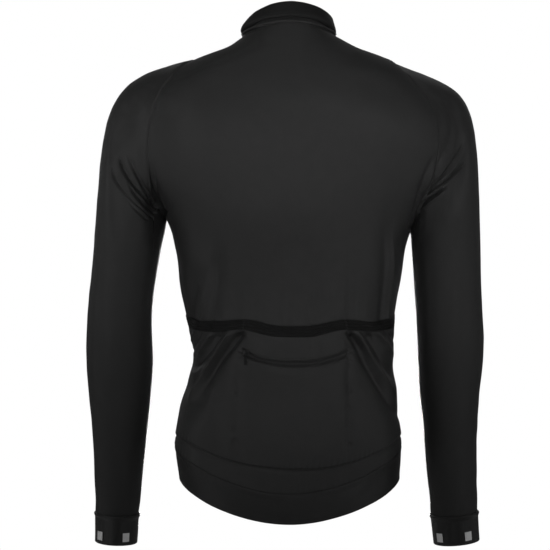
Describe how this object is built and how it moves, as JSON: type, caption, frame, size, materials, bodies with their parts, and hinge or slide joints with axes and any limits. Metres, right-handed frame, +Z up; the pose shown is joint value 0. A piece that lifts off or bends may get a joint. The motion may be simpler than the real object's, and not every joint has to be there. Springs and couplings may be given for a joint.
{
  "type": "cycling jacket",
  "caption": "Long-sleeved cycling jacket in a worn hollow shape, with a stand collar, full front zip, drop tail with gripper hem, and zipped back pockets.",
  "frame": {"origin": "between the shoulders, level with the shoulder line, where the wearer's neck and shoulders carry the jacket", "axes": "+Z up from hem to collar, -Y out of the front with the long zip, +X to the wearer's left"},
  "size_m": [0.5595, 0.2443, 0.7675],
  "materials": {
    "body_knit": "matt brushed stretch knit, near black",
    "cuff_knit": "matt stretch knit, near black",
    "gripper_knit": "smooth elastic knit, near black",
    "neck_tape": "woven tape, dark grey",
    "elastic": "stitched elastic, black",
    "zip_tape": "woven tape with a nylon coil, black",
    "slider_metal": "painted die-cast metal, black",
    "pull_rubber": "moulded rubber, black",
    "reflective": "plain reflective film, pale grey"
  },
  "bodies": {
    "jacket": {"back": "body_knit", "front_left": "body_knit", "front_right": "body_knit", "sleeve_left": "body_knit", "sleeve_right": "body_knit", "cuff_left": "cuff_knit", "cuff_right": "cuff_knit", "collar": "body_knit", "neck_tape": "neck_tape", "hem_gripper": "gripper_knit", "pocket_cloth": "body_knit", "pocket_elastic": "elastic", "pocket_zip": "zip_tape", "pocket_zip_slider": "slider_metal", "front_zip": "zip_tape", "front_zip_slider": "slider_metal", "cuff_tab_left_outer": "reflective", "cuff_tab_left_inner": "reflective", "cuff_tab_right_inner": "reflective", "cuff_tab_right_outer": "reflective"},
    "front_zip_pull": {"front_zip_pull": "pull_rubber"},
    "pocket_zip_pull": {"pocket_zip_pull": "pull_rubber"}
  },
  "joints": [
    {"name": "front_pull_hinge", "type": "hinge", "parent": "jacket", "child": "front_zip_pull", "pos_m": [0, -0.08547, 0.0014], "axis": [-1, 0, 0], "range_deg": [-10, 150]},
    {"name": "pocket_pull_hinge", "type": "hinge", "parent": "jacket", "child": "pocket_zip_pull", "pos_m": [0.06011, 0.09531, -0.40957], "axis": [0.984, -0.1783, 0], "range_deg": [0, 150]}
  ]
}
